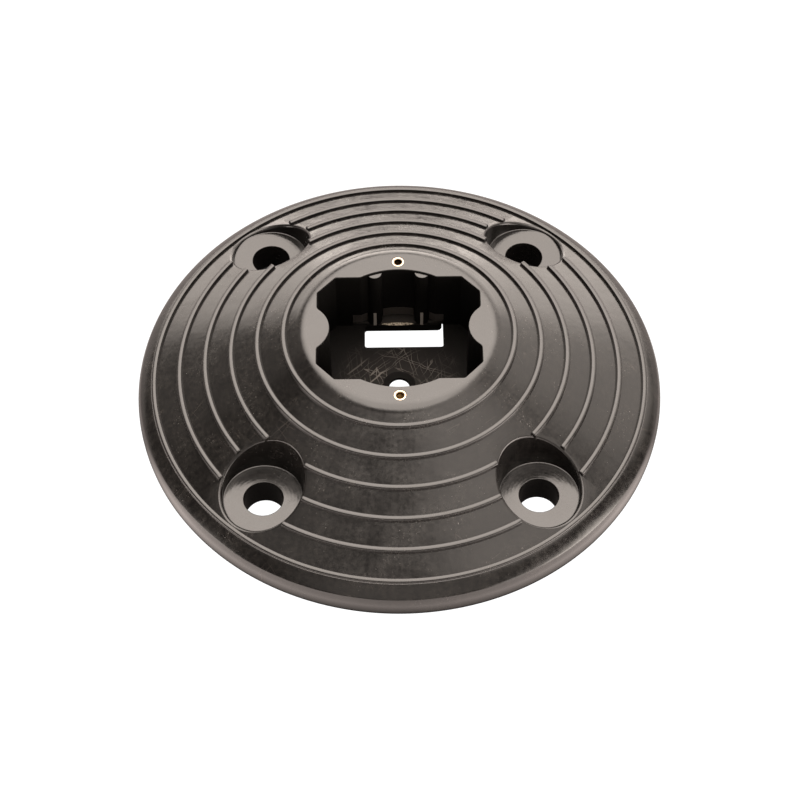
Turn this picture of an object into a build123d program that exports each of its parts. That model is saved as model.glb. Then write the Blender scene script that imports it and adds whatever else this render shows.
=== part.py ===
from build123d import *
import os
from math import acos, asin, atan2, cos, degrees, hypot, radians, sin, tan

# Delineator base: one black moulding that bolts to the road and holds a post in its socket, with two
# brass thread inserts in its hub. Millimetres, +Z up, origin on the axis at the road surface, +Y
# towards the latch side of the socket.

# Outer form: a cone with a flat hub on top and a rolled rim at the road
BASE_DIAMETER = 203.0
FOOT_DIAMETER = 201.6
HUB_HEIGHT = 40.8
HUB_CORNER_RADIUS = 36.8
HUB_ROUNDING = 12.0
CONE_SLOPE = 26.1
RIM_WIDEST_HEIGHT = 5.1
RIM_INNER_RADIUS = 96.2
RIM_RAISE = 1.1
RIM_CORNER_BREAK = 0.5

# Grip ribs on the cone, counted from the rim: low beads with a narrow crown
RIB_COUNT = 6
RIB_OUTER_RADIUS = 94.7
RIB_PITCH = 10.2
RIB_WIDTH = 2.6
RIB_CROWN = 1.1
RIB_HEIGHT = 1.25
RIB_SEAT = 0.4
RIB_STOP_RADIUS = 17.9

# Bolt pockets and bores at the corners of a rectangle
BOLT_SPACING_X = 102.1
BOLT_SPACING_Y = 115.7
BOLT_BORE_DIAMETER = 14.7
BOLT_BORE_BREAK = 0.5
POCKET_DIAMETER = 29.9
POCKET_FLOOR_HEIGHT = 12.25
POCKET_DRAFT = 4.0
POCKET_MOUTH_BREAK = 0.9
POCKET_ROUGH_DEPTH = 4.0
POCKET_FLOOR_SPREAD = 1.3

# Post socket: four corner lobes, bowed front and rear walls, and a round boss on each side
SOCKET_HALF_WIDTH = 31.0
SOCKET_HALF_LENGTH = 24.3
LOBE_CORNER_X = 23.3
LOBE_CORNER_Y = 17.0
BOW_PEAK = 28.05
BOW_HALF_WIDTH = 14.5
BOSS_TIP = 26.2
BOSS_RADIUS = 11.6
LOBE_ROUNDING = 1.0
BLEND_ROUNDING = 2.2
SOCKET_FLOOR_HEIGHT = 11.3
SOCKET_FLOOR_THICKNESS = 3.6

# Latch side of the socket: crush ribs, a recess low in the rear wall, and a slot through the floor
CRUSH_RIB_X = 9.15
CRUSH_RIB_Y = 27.3
CRUSH_RIB_RADIUS = 2.9
CRUSH_RIB_SETBACK = 0.8
RECESS_HALF_WIDTH = 17.9
RECESS_HEIGHT = 8.3
RECESS_DEPTH = 1.6
SLOT_LEFT = -13.3
SLOT_RIGHT = 17.6
SLOT_FRONT = 13.2
SLOT_REAR = 24.2
SLOT_ROUNDING = 1.0
SLOT_NOTCH_WIDTH = 0.5
SLOT_NOTCH_REAR = 27.4
SLOT_NOTCH_ROUNDING = 1.8
ANCHOR_HOLE_Y = -5.1
ANCHOR_HOLE_DIAMETER = 8.1
ANCHOR_SINK_DIAMETER = 12.2
ANCHOR_SINK_DEPTH = 1.2

# Cored underside: walls, webs and rings that stand on the road
SHELL_THICKNESS = 4.0
RIM_WALL = 5.0
CUP_WALL = 4.0
BOSS_WALL = 4.7
POCKET_WALL = 3.5
WEB_THICKNESS = 3.0
WEBS_BETWEEN_BOLTS = 1
RING_RADII = (53.0, 75.5)
SPACE_BELOW_RADIUS = 41.0

# Brass thread inserts for the post's retaining screws, M3
INSERT_Y = 32.0
INSERT_DIAMETER = 4.6
INSERT_LENGTH = 6.0
INSERT_BORE_DIAMETER = 2.5
INSERT_CHAMFER = 0.3
INSERT_GROOVE_WIDTH = 1.0
INSERT_GROOVE_DEPTH = 0.35
INSERT_HOLE_DEPTH = 7.5
INSERT_SINK = 0.1
INSERT_BOSS_DIAMETER = 10.0
INSERT_BOSS_DEPTH = 13.0

TOUCH = 0.01
RADIUS = BASE_DIAMETER / 2
SLOPE = radians(CONE_SLOPE)
UPRIGHT = (Align.CENTER, Align.CENTER, Align.MIN)
HANGING = (Align.CENTER, Align.CENTER, Align.MAX)
BOLT_CIRCLE = hypot(BOLT_SPACING_X, BOLT_SPACING_Y) / 2
BOLT_ANGLE = degrees(atan2(BOLT_SPACING_Y, BOLT_SPACING_X))
BOLT_POINTS = [(x * BOLT_SPACING_X / 2, y * BOLT_SPACING_Y / 2) for x in (-1, 1) for y in (-1, 1)]


def cone_height(radius):
    """Height of the cone's plain surface at a radius."""
    return HUB_HEIGHT - (radius - HUB_CORNER_RADIUS) * tan(SLOPE)


def rim_roll_radius():
    """Radius of the rim's roll, tangent to the raised rim band and to the upright at its widest."""
    band_at_axis = cone_height(0) + RIM_RAISE / cos(SLOPE)
    return ((band_at_axis - RIM_WIDEST_HEIGHT) * cos(SLOPE) - RADIUS * sin(SLOPE)) / (1 - sin(SLOPE))


def plain_cover():
    """The outer form without ribs and pockets, solid down to the road."""
    roll = rim_roll_radius()
    raise_upright = RIM_RAISE / cos(SLOPE)
    foot = (FOOT_DIAMETER / 2, 0)
    widest = (RADIUS, RIM_WIDEST_HEIGHT)
    roll_top = (RADIUS - roll + roll * sin(SLOPE), RIM_WIDEST_HEIGHT + roll * cos(SLOPE))
    break_radius = RIM_INNER_RADIUS + RIM_CORNER_BREAK
    rim_corner = (break_radius, cone_height(break_radius) + raise_upright)
    groove_top = (RIM_INNER_RADIUS, cone_height(RIM_INNER_RADIUS) + raise_upright - RIM_CORNER_BREAK / 2)
    groove = (RIM_INNER_RADIUS, cone_height(RIM_INNER_RADIUS))
    hub_corner = (HUB_CORNER_RADIUS, HUB_HEIGHT)
    hub_centre = (0, HUB_HEIGHT)
    with BuildPart() as cover:
        with BuildSketch(Plane.XZ):
            with BuildLine():
                TangentArc(widest, foot, tangent=(0, -1))
                TangentArc(widest, roll_top, tangent=(0, 1))
                Polyline(roll_top, rim_corner, groove_top, groove)
                FilletPolyline(groove, hub_corner, hub_centre, radius=HUB_ROUNDING)
                Polyline(hub_centre, (0, 0), foot)
            make_face()
        revolve(axis=Axis.Z)
    return cover.part


def pocket_tool(floor):
    """A drafted bolt pocket from a floor height to above the hub, at the axis."""
    height = HUB_HEIGHT - floor
    radius = POCKET_DIAMETER / 2 + (floor - POCKET_FLOOR_HEIGHT) * tan(radians(POCKET_DRAFT))
    tool = Cone(radius, radius + height * tan(radians(POCKET_DRAFT)), height, align=UPRIGHT)
    return Pos(0, 0, floor) * tool


def pocketed_cover():
    """The cover with its four pockets: broken mouths first, then the flat floors that meet them."""
    rough_floor = POCKET_FLOOR_HEIGHT - POCKET_ROUGH_DEPTH
    places = Locations(*BOLT_POINTS).locations
    cover = plain_cover() - [place * pocket_tool(rough_floor) for place in places]
    mouths = []
    for x, y in BOLT_POINTS:
        wall = cover.faces().filter_by(GeomType.CONE).sort_by_distance((x, y, POCKET_FLOOR_HEIGHT))[0]
        uneven = wall.edges().filter_by(GeomType.CIRCLE, reverse=True)
        mouths += uneven.filter_by(GeomType.LINE, reverse=True)
    cover = chamfer(mouths, POCKET_MOUTH_BREAK)
    floor = Cylinder(POCKET_DIAMETER / 2 + POCKET_FLOOR_SPREAD, POCKET_ROUGH_DEPTH, align=HANGING)
    cover += [place * Pos(0, 0, POCKET_FLOOR_HEIGHT) * floor for place in places]
    bore = Cylinder(BOLT_BORE_DIAMETER / 2, POCKET_FLOOR_HEIGHT, align=UPRIGHT)
    cover -= [place * bore for place in places]
    circles = cover.edges().filter_by(GeomType.CIRCLE)
    level = circles.filter_by_position(Axis.Z, POCKET_FLOOR_HEIGHT - TOUCH, POCKET_FLOOR_HEIGHT + TOUCH)
    bore_edges = [edge for edge in level if abs(edge.radius - BOLT_BORE_DIAMETER / 2) < TOUCH]
    return chamfer(bore_edges, BOLT_BORE_BREAK)


def rib_arc(radius, start, sweep):
    """One stretch of a rib, its section standing square on the cone and seated a little below its face."""
    bead = Polygon(
        (-RIB_WIDTH / 2, -RIB_SEAT),
        (RIB_WIDTH / 2, -RIB_SEAT),
        (RIB_WIDTH / 2, 0),
        (RIB_CROWN / 2, RIB_HEIGHT),
        (-RIB_CROWN / 2, RIB_HEIGHT),
        (-RIB_WIDTH / 2, 0),
        align=None,
    )
    section = Plane.XZ * Pos(radius, cone_height(radius)) * Rot(0, 0, -CONE_SLOPE) * bead
    return Rot(0, 0, start) * revolve(section, Axis.Z, sweep)


def grip_ribs():
    """All ribs. Those that would run into a pocket stop short of it on both sides."""
    ribs = []
    bolt_angles = [BOLT_ANGLE, 180 - BOLT_ANGLE, 180 + BOLT_ANGLE, 360 - BOLT_ANGLE]
    next_angles = bolt_angles[1:] + [bolt_angles[0] + 360]
    for index in range(RIB_COUNT):
        radius = RIB_OUTER_RADIUS - index * RIB_PITCH
        if abs(radius - BOLT_CIRCLE) > POCKET_DIAMETER / 2:
            ribs.append(rib_arc(radius, 0, 360))
            continue
        reach = radius**2 + BOLT_CIRCLE**2 - RIB_STOP_RADIUS**2
        stop = degrees(acos(reach / (2 * radius * BOLT_CIRCLE)))
        for angle, following in zip(bolt_angles, next_angles):
            ribs.append(rib_arc(radius, angle + stop, following - angle - 2 * stop))
    return ribs


def socket_plan(margin=0.0):
    """Plan of the post socket, or of the cup around it when a margin is given."""
    boss_half = (BOSS_RADIUS**2 - (BOSS_TIP + BOSS_RADIUS - SOCKET_HALF_WIDTH) ** 2) ** 0.5
    rise = BOW_PEAK - SOCKET_HALF_LENGTH
    bow_radius = (BOW_HALF_WIDTH**2 + rise**2) / (2 * rise)
    bow_angle = degrees(asin(BOW_HALF_WIDTH / bow_radius))
    side_top = (SOCKET_HALF_WIDTH, LOBE_CORNER_Y)
    lobe_top = (LOBE_CORNER_X, SOCKET_HALF_LENGTH)
    with BuildSketch() as plan:
        with BuildLine():
            boss_angle = degrees(asin(boss_half / BOSS_RADIUS))
            CenterArc((BOSS_TIP + BOSS_RADIUS, 0), BOSS_RADIUS, 180, -boss_angle)
            bow_end = (BOW_HALF_WIDTH, SOCKET_HALF_LENGTH)
            Polyline((SOCKET_HALF_WIDTH, boss_half), side_top, lobe_top, bow_end)
            CenterArc((0, BOW_PEAK - bow_radius), bow_radius, 90 - bow_angle, bow_angle)
            mirror(about=Plane.XZ)
            mirror(about=Plane.YZ)
        make_face()
        corners = plan.vertices()
        bow_ends = [corner for corner in corners if abs(abs(corner.X) - BOW_HALF_WIDTH) < TOUCH]
        boss_feet = [corner for corner in corners if abs(abs(corner.Y) - boss_half) < TOUCH]
        blends = bow_ends + boss_feet
        lobes = [corner for corner in corners if abs(corner.Y) > LOBE_CORNER_Y - TOUCH]
        fillet([corner for corner in lobes if abs(corner.X) > LOBE_CORNER_X - TOUCH], LOBE_ROUNDING)
        fillet(blends, BLEND_ROUNDING)
        if margin:
            offset(amount=margin)
    return plan.sketch


def underside_webs():
    """Radial webs through the bolt bosses and between them, and the rings that tie them."""
    step_side = 2 * BOLT_ANGLE / (WEBS_BETWEEN_BOLTS + 1)
    step_front = (180 - 2 * BOLT_ANGLE) / (WEBS_BETWEEN_BOLTS + 1)
    angles = [-BOLT_ANGLE + step_side * i for i in range(WEBS_BETWEEN_BOLTS + 1)]
    angles += [BOLT_ANGLE + step_front * i for i in range(WEBS_BETWEEN_BOLTS + 1)]
    web = Box(BASE_DIAMETER, WEB_THICKNESS, HUB_HEIGHT, align=UPRIGHT)
    webs = [Rot(0, 0, angle) * web for angle in angles]
    for radius in RING_RADII:
        ring = Cylinder(radius + WEB_THICKNESS / 2, HUB_HEIGHT, align=UPRIGHT)
        webs.append(ring - Cylinder(radius - WEB_THICKNESS / 2, HUB_HEIGHT, align=UPRIGHT))
    return webs


def underside_cavity():
    """The cored space under the shell, less the cup, bosses and webs that stand in it."""
    drop = SHELL_THICKNESS / cos(SLOPE)
    outer = RADIUS - RIM_WALL
    ceiling = HUB_HEIGHT - SHELL_THICKNESS
    inner = HUB_CORNER_RADIUS - SHELL_THICKNESS * tan(SLOPE / 2)
    outer_top = (outer, cone_height(outer) - drop)
    with BuildPart() as cavity:
        with BuildSketch(Plane.XZ):
            Polygon((0, 0), (outer, 0), outer_top, (inner, ceiling), (0, ceiling), align=None)
        revolve(axis=Axis.Z)
    boss = Cylinder(BOLT_BORE_DIAMETER / 2 + BOSS_WALL, HUB_HEIGHT, align=UPRIGHT)
    shell_floor = POCKET_FLOOR_HEIGHT - SHELL_THICKNESS
    pocket = Pos(0, 0, shell_floor) * Cylinder(POCKET_DIAMETER / 2 + POCKET_WALL, HUB_HEIGHT, align=UPRIGHT)
    insert_boss = Cylinder(INSERT_BOSS_DIAMETER / 2, INSERT_BOSS_DEPTH, align=HANGING)
    kept = underside_webs()
    kept.append(extrude(socket_plan(CUP_WALL), HUB_HEIGHT))
    kept += [Pos(x, y) * solid for x, y in BOLT_POINTS for solid in (boss, pocket)]
    kept += [Pos(0, y, HUB_HEIGHT) * insert_boss for y in (-INSERT_Y, INSERT_Y)]
    return cavity.part - kept


def latch_recess():
    """The shallow recess low in the rear wall: the socket's own plan moved back, between its ends."""
    moved = Pos(0, RECESS_DEPTH, SOCKET_FLOOR_HEIGHT) * extrude(socket_plan(), RECESS_HEIGHT)
    window = Box(2 * RECESS_HALF_WIDTH, BOW_PEAK, HUB_HEIGHT, align=(Align.CENTER, Align.MIN, Align.MIN))
    return moved & (Pos(0, SLOT_FRONT, 0) * window)


def floor_slot():
    """The slot through the socket floor along the foot of the rear wall, with a notch at its right end."""
    width = SLOT_RIGHT - SLOT_LEFT
    length = SLOT_REAR - SLOT_FRONT
    middle = Pos((SLOT_LEFT + SLOT_RIGHT) / 2, (SLOT_FRONT + SLOT_REAR) / 2, 0)
    inside = width / 2 - SLOT_NOTCH_WIDTH
    notch_rear = SLOT_NOTCH_REAR - (SLOT_FRONT + SLOT_REAR) / 2
    with BuildSketch() as plan:
        with BuildLine():
            Polyline(
                (-width / 2, -length / 2),
                (width / 2, -length / 2),
                (width / 2, notch_rear),
                (inside, notch_rear),
                (inside, length / 2),
                (-width / 2, length / 2),
                close=True,
            )
        make_face()
        corners = plan.vertices()
        bend = [c for c in corners if abs(c.X - inside) + abs(c.Y - length / 2) < TOUCH]
        fillet(bend, SLOT_NOTCH_ROUNDING)
        outer = [c for c in corners if abs(abs(c.X) - width / 2) + abs(abs(c.Y) - length / 2) < TOUCH]
        fillet(outer, SLOT_ROUNDING)
    return middle * extrude(plan.sketch, SOCKET_FLOOR_HEIGHT)


def anchor_hole():
    """The anchor hole in the socket floor, countersunk from above and from below."""
    under = SOCKET_FLOOR_HEIGHT - SOCKET_FLOOR_THICKNESS
    bore = ANCHOR_HOLE_DIAMETER / 2
    mouth = ANCHOR_SINK_DIAMETER / 2
    hole = Pos(0, 0, under) * Cylinder(bore, SOCKET_FLOOR_THICKNESS, align=UPRIGHT)
    above = SOCKET_FLOOR_HEIGHT - ANCHOR_SINK_DEPTH
    hole += Pos(0, 0, above) * Cone(bore, mouth, ANCHOR_SINK_DEPTH, align=UPRIGHT)
    hole += Pos(0, 0, under) * Cone(bore + ANCHOR_SINK_DEPTH, bore, ANCHOR_SINK_DEPTH, align=UPRIGHT)
    return Pos(0, ANCHOR_HOLE_Y) * hole


def crush_rib(x):
    """A half-round rib up the rear wall that the post's plug presses on."""
    height = HUB_HEIGHT - CRUSH_RIB_SETBACK - SOCKET_FLOOR_HEIGHT + SOCKET_FLOOR_THICKNESS
    floor_underside = SOCKET_FLOOR_HEIGHT - SOCKET_FLOOR_THICKNESS
    return Pos(x, CRUSH_RIB_Y, floor_underside) * Cylinder(CRUSH_RIB_RADIUS, height, align=UPRIGHT)


def base_moulding():
    """The whole moulding: ribbed cover, cored underside, bolt bores and post socket."""
    body = pocketed_cover() + grip_ribs()
    body -= underside_cavity()
    plan = socket_plan()
    depth = HUB_HEIGHT - SOCKET_FLOOR_HEIGHT
    body -= Pos(0, 0, SOCKET_FLOOR_HEIGHT) * extrude(plan, depth)
    body -= Cylinder(SPACE_BELOW_RADIUS, SOCKET_FLOOR_HEIGHT - SOCKET_FLOOR_THICKNESS, align=UPRIGHT)
    body -= latch_recess()
    body += [crush_rib(x) for x in (-CRUSH_RIB_X, CRUSH_RIB_X)]
    body -= floor_slot()
    body -= anchor_hole()
    insert_hole = Cylinder(INSERT_DIAMETER / 2, INSERT_HOLE_DEPTH, align=HANGING)
    body -= [Pos(0, y, HUB_HEIGHT) * insert_hole for y in (-INSERT_Y, INSERT_Y)]
    return body


def thread_insert(y):
    """A brass insert just below the hub's face, grooved at mid-length so that the moulding grips it."""
    outer = INSERT_DIAMETER / 2
    inner = INSERT_BORE_DIAMETER / 2
    waist = outer - INSERT_GROOVE_DEPTH
    groove_top = -(INSERT_LENGTH - INSERT_GROOVE_WIDTH) / 2
    groove_foot = groove_top - INSERT_GROOVE_WIDTH
    with BuildPart() as insert:
        with BuildSketch(Plane.XZ):
            with BuildLine():
                Polyline(
                    (inner + INSERT_CHAMFER, 0),
                    (outer, 0),
                    (outer, groove_top),
                    (waist, groove_top),
                    (waist, groove_foot),
                    (outer, groove_foot),
                    (outer, -INSERT_LENGTH),
                    (inner, -INSERT_LENGTH),
                    (inner, -INSERT_CHAMFER),
                    close=True,
                )
            make_face()
        revolve(axis=Axis.Z)
    return Pos(0, y, HUB_HEIGHT - INSERT_SINK) * insert.part


PIECES = {
    "base_moulding": base_moulding(),
    "front_thread_insert": thread_insert(-INSERT_Y),
    "rear_thread_insert": thread_insert(INSERT_Y),
}
os.makedirs("parts", exist_ok=True)
for node, solid in PIECES.items():
    export_step(solid, f"parts/{node}.step")
    print(node, len(solid.solids()), round(solid.volume))
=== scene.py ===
import logging
import math
from dataclasses import dataclass, field
from enum import Enum
from functools import partial
from typing import Callable, Sequence

import bmesh
import bpy
from mathutils import Matrix, Vector


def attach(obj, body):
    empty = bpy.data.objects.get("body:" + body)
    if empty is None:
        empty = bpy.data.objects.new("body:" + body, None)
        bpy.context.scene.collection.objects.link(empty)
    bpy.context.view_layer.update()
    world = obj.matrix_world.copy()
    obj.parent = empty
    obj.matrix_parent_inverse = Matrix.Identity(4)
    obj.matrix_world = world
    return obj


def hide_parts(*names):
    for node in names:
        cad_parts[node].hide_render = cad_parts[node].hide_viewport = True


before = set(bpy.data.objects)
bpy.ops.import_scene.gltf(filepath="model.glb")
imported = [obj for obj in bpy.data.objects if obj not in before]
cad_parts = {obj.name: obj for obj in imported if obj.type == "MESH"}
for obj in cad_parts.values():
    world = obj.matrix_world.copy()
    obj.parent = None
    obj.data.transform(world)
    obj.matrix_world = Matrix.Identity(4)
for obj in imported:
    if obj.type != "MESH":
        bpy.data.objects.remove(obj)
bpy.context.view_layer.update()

MM = 0.001
MERGE = 4e-7
SAME_LEVEL = 1e-7
LOG = logging.getLogger("delineator_base")

Pair = tuple[float, float]
Colour = tuple[float, float, float, float]
Solid = bpy.types.Object
Socket = bpy.types.NodeSocket
Draw = Callable[..., Socket]


class Joint(Enum):
    """How a tool solid changes the solid it meets."""

    ADD = "UNION"
    CUT = "DIFFERENCE"
    SHARE = "INTERSECT"


class Sheet(Enum):
    """The drawing plane of a pen: an upright section for turning, or a flat plan."""

    SECTION = "XZ"
    PLAN = "XY"


def hex_linear(code: str) -> Colour:
    """Turn an sRGB hex colour into the linear colour that shaders take.

    Args:
        code: Six hex digits, with or without a leading hash.

    Returns:
        Linear red, green, blue and an alpha of one.
    """
    digits = code.lstrip("#")
    parts = [int(digits[i:i + 2], 16) / 255 for i in (0, 2, 4)]
    linear = [p / 12.92 if p <= 0.04045 else ((p + 0.055) / 1.055) ** 2.4 for p in parts]
    return (linear[0], linear[1], linear[2], 1.0)


def add_node(tree: bpy.types.NodeTree, kind: str, settings: dict | None = None,
             out: int | str = 0) -> Socket | None:
    """Add one node with its settings and links.

    Args:
        tree: Node tree that gets the node.
        kind: Node type after "ShaderNode", and its operation after a space where it has one.
        settings: Attributes, and inputs by name or number, each with its value or feeding socket.
        out: Name or number of the output that is wanted.

    Returns:
        That output, or None from a node without outputs.
    """
    kind, _, operation = kind.partition(" ")
    node = tree.nodes.new("ShaderNode" + kind)
    if operation:
        node.operation = operation
    for key, value in (settings or {}).items():
        if isinstance(value, Socket):
            tree.links.new(value, node.inputs[key])
        elif isinstance(key, str) and hasattr(node, key):
            setattr(node, key, value)
        else:
            node.inputs[key].default_value = value
    return node.outputs[out] if node.outputs else None


def cone_height(radius: float) -> float:
    """Height of the cone's plain face at a radius, in millimetres."""
    return Cover.hub_height - (radius - Cover.hub_corner) * math.tan(math.radians(Cover.slope))


def off(centre: Pair, size: float, lean: float) -> Pair:
    """The point at a distance from a centre, at an angle in degrees from the upright."""
    turn = math.radians(lean)
    return (centre[0] + size * math.sin(turn), centre[1] + size * math.cos(turn))


def select_only(*items: Solid) -> None:
    """Select these objects and nothing else, and make the first one active.

    Args:
        items: Objects to select.
    """
    bpy.ops.object.select_all(action="DESELECT")
    for item in items:
        item.select_set(True)
    bpy.context.view_layer.objects.active = items[0]


def edit(on: bool = True) -> None:
    """Enter edit mode with the whole mesh selected, or leave it.

    Args:
        on: Whether to enter it.
    """
    bpy.ops.object.mode_set(mode="EDIT" if on else "OBJECT")
    if on:
        bpy.ops.mesh.select_all(action="SELECT")


def weld() -> None:
    """In edit mode, select the whole mesh and merge its doubles."""
    bpy.ops.mesh.select_all(action="SELECT")
    bpy.ops.mesh.remove_doubles(threshold=MERGE)


def select_edges(item: Solid, test: Callable[[bmesh.types.BMEdge], bool]) -> None:
    """In edit mode, select the edges that pass a test and nothing else.

    Args:
        item: Object in edit mode.
        test: Says of an edge whether it is wanted.
    """
    mesh = bmesh.from_edit_mesh(item.data)
    bpy.ops.mesh.select_all(action="DESELECT")
    for edge in mesh.edges:
        if test(edge):
            edge.select_set(True)
    mesh.select_flush_mode()
    bmesh.update_edit_mesh(item.data)


def tidy_mesh(item: Solid) -> Solid:
    """Merge an object's doubles and turn its faces outwards.

    Args:
        item: Object in object mode.

    Returns:
        The same object.
    """
    select_only(item)
    edit()
    weld()
    bpy.ops.mesh.normals_make_consistent(inside=False)
    edit(False)
    return item


def combine(body: Solid, tool: Solid, joint: Joint) -> None:
    """Change one closed solid by another with a Boolean modifier, and drop the tool.

    Args:
        body: Solid that stays.
        tool: Solid that is used up.
        joint: Whether the tool is added, cut away or shared.
    """
    select_only(body)
    modifier = body.modifiers.new("joint", "BOOLEAN")
    modifier.operation = joint.value
    modifier.solver = "MANIFOLD"
    modifier.object = tool
    bpy.ops.object.modifier_apply(modifier="joint")
    scrap = tool.data
    bpy.data.objects.remove(tool)
    bpy.data.meshes.remove(scrap)


def gather(items: Sequence[Solid]) -> Solid:
    """Join separate solids that don't touch into one object.

    Args:
        items: The solids, or one alone.

    Returns:
        The first of them, which holds them all.
    """
    select_only(*items)
    if len(items) > 1:
        bpy.ops.object.join()
    return items[0]


def set_out(item: Solid, *points: Pair) -> Solid:
    """Copy a solid from the axis to plan points, each copy with its own mesh, and join the copies.

    Args:
        item: Solid modelled on the axis, which is dropped.
        points: Plan points in millimetres.

    Returns:
        The copies as one object, with their places in its mesh.
    """
    copies = []
    for x, y in points:
        select_only(item)
        bpy.ops.object.duplicate(linked=False)
        copies.append(bpy.context.object)
        edit()
        bpy.ops.transform.translate(value=(x * MM, y * MM, 0))
        edit(False)
    bpy.data.objects.remove(item)
    return gather(copies)


class Pen:
    """Draws a chain of edges with the extrude and spin operators, then makes a solid of it."""

    def __init__(self, name: str, start: Pair, sheet: Sheet = Sheet.SECTION,
                 height: float = 0.0) -> None:
        """Put the first point down.

        Args:
            name: Name of the new object.
            start: First point in the sheet, in millimetres.
            sheet: Upright section or flat plan.
            height: Height of a flat plan.
        """
        self.sheet = sheet
        self.height = height
        self.at = start
        bpy.ops.object.select_all(action="DESELECT")
        bpy.ops.mesh.primitive_plane_add(size=MM)
        self.item = bpy.context.object
        self.item.name = name
        edit()
        bpy.ops.mesh.merge(type="CENTER")
        bpy.ops.transform.translate(value=self.place(start))

    def place(self, point: Pair) -> Vector:
        """Find where a point of the sheet is in space.

        Args:
            point: Point in the sheet, in millimetres.

        Returns:
            Its place in metres.
        """
        if self.sheet is Sheet.SECTION:
            return Vector((point[0], 0, point[1])) * MM
        return Vector((point[0], point[1], self.height)) * MM

    def line(self, *points: Pair) -> "Pen":
        """Extrude straight edges on to each point in turn.

        Args:
            points: Points in the sheet, in millimetres.

        Returns:
            The pen itself.
        """
        for point in points:
            step = self.place(point) - self.place(self.at)
            bpy.ops.mesh.extrude_vertices_move(TRANSFORM_OT_translate={"value": step})
            self.at = point
        return self

    def arc(self, centre: Pair, turn: float, steps: int) -> "Pen":
        """Spin the last point round a centre.

        Args:
            centre: Centre of the arc in the sheet.
            turn: Angle in degrees, anticlockwise positive.
            steps: Number of edges.

        Returns:
            The pen itself.
        """
        section = self.sheet is Sheet.SECTION
        angle = math.radians(turn)
        bpy.ops.mesh.spin(
            steps=steps,
            angle=angle if section else -angle,
            center=self.place(centre),
            axis=(0, 1, 0) if section else (0, 0, 1),
        )
        u, v = self.at[0] - centre[0], self.at[1] - centre[1]
        c, s = math.cos(angle), math.sin(angle)
        self.at = (centre[0] + c * u - s * v, centre[1] + s * u + c * v)
        return self

    def closed(self) -> "Pen":
        """Weld the chain's end to its start."""
        weld()
        return self

    def mirrored(self) -> "Pen":
        """Mirror a quarter of a plan to the left and then to the front, and weld the four.

        Returns:
            The pen with the closed plan.
        """
        for sign in ((-1, 1, 1), (1, -1, 1)):
            bpy.ops.mesh.select_all(action="SELECT")
            bpy.ops.mesh.duplicate()
            bpy.ops.transform.resize(value=sign, center_override=(0, 0, 0))
        return self.closed()

    def put_down(self) -> "Pen":
        """Leave edit mode, so that another pen can be taken up."""
        edit(False)
        return self

    def turned(self, steps: int) -> Solid:
        """Spin the whole section round the upright axis.

        Args:
            steps: Number of steps round the axis.

        Returns:
            The closed solid.
        """
        bpy.ops.mesh.select_all(action="SELECT")
        bpy.ops.mesh.spin(steps=steps, angle=2 * math.pi, center=(0, 0, 0), axis=(0, 0, 1))
        return tidy_mesh(self.put_down().item)

    def prism(self, height: float) -> Solid:
        """Fill a closed plan and extrude it upwards.

        Args:
            height: Height of the prism in millimetres.

        Returns:
            The closed solid.
        """
        weld()
        bpy.ops.mesh.edge_face_add()
        bpy.ops.mesh.extrude_region_move(TRANSFORM_OT_translate={"value": (0, 0, height * MM)})
        return tidy_mesh(self.put_down().item)


def bridged(rings: Sequence[Pen], name: str) -> Solid:
    """Bridge closed plans of equal count into one solid with flat ends.

    Args:
        rings: Pens that each hold one closed plan, from the lowest to the highest.
        name: Name of the solid.

    Returns:
        The closed solid.
    """
    def level(*marks: Pen) -> Callable[[bmesh.types.BMEdge], bool]:
        """Make a test for edges that lie level with one of these plans.

        Args:
            marks: Pens that hold the plans.

        Returns:
            The test.
        """
        heights = [mark.height * MM for mark in marks]
        return lambda edge: any(
            all(abs(vert.co.z - z) < SAME_LEVEL for vert in edge.verts) for z in heights)

    item = gather([ring.item for ring in rings])
    item.name = name
    edit()
    bpy.ops.mesh.select_mode(type="EDGE")
    for low, high in zip(rings, rings[1:]):
        select_edges(item, level(low, high))
        bpy.ops.mesh.bridge_edge_loops()
    for end in (rings[0], rings[-1]):
        select_edges(item, level(end))
        bpy.ops.mesh.edge_face_add()
    bpy.ops.mesh.select_mode(type="VERT")
    edit(False)
    return tidy_mesh(item)


def flared_bore(name: str, radius: float, top: float, rounding: float, foot: float = -2.0,
                steps: int = 72) -> Solid:
    """A bore's cutter on the axis, with a rounded edge where it leaves a level face.

    Args:
        name: Name of the cutter.
        radius: Radius of the bore in millimetres.
        top: Height of the level face.
        rounding: Radius of the rounded edge.
        foot: Height of the cutter's foot.
        steps: Number of steps round the bore.

    Returns:
        The cutter.
    """
    short, above = 8.0, top + 2
    pen = Pen(name, (0, foot))
    pen.line((radius, foot), (radius, top - rounding))
    pen.arc((radius + rounding, top - rounding), short - 90, 5)
    out = off(pen.at, 1.0, 90 - short)
    return pen.line(out, (out[0], above), (0, above)).turned(steps)


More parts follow.
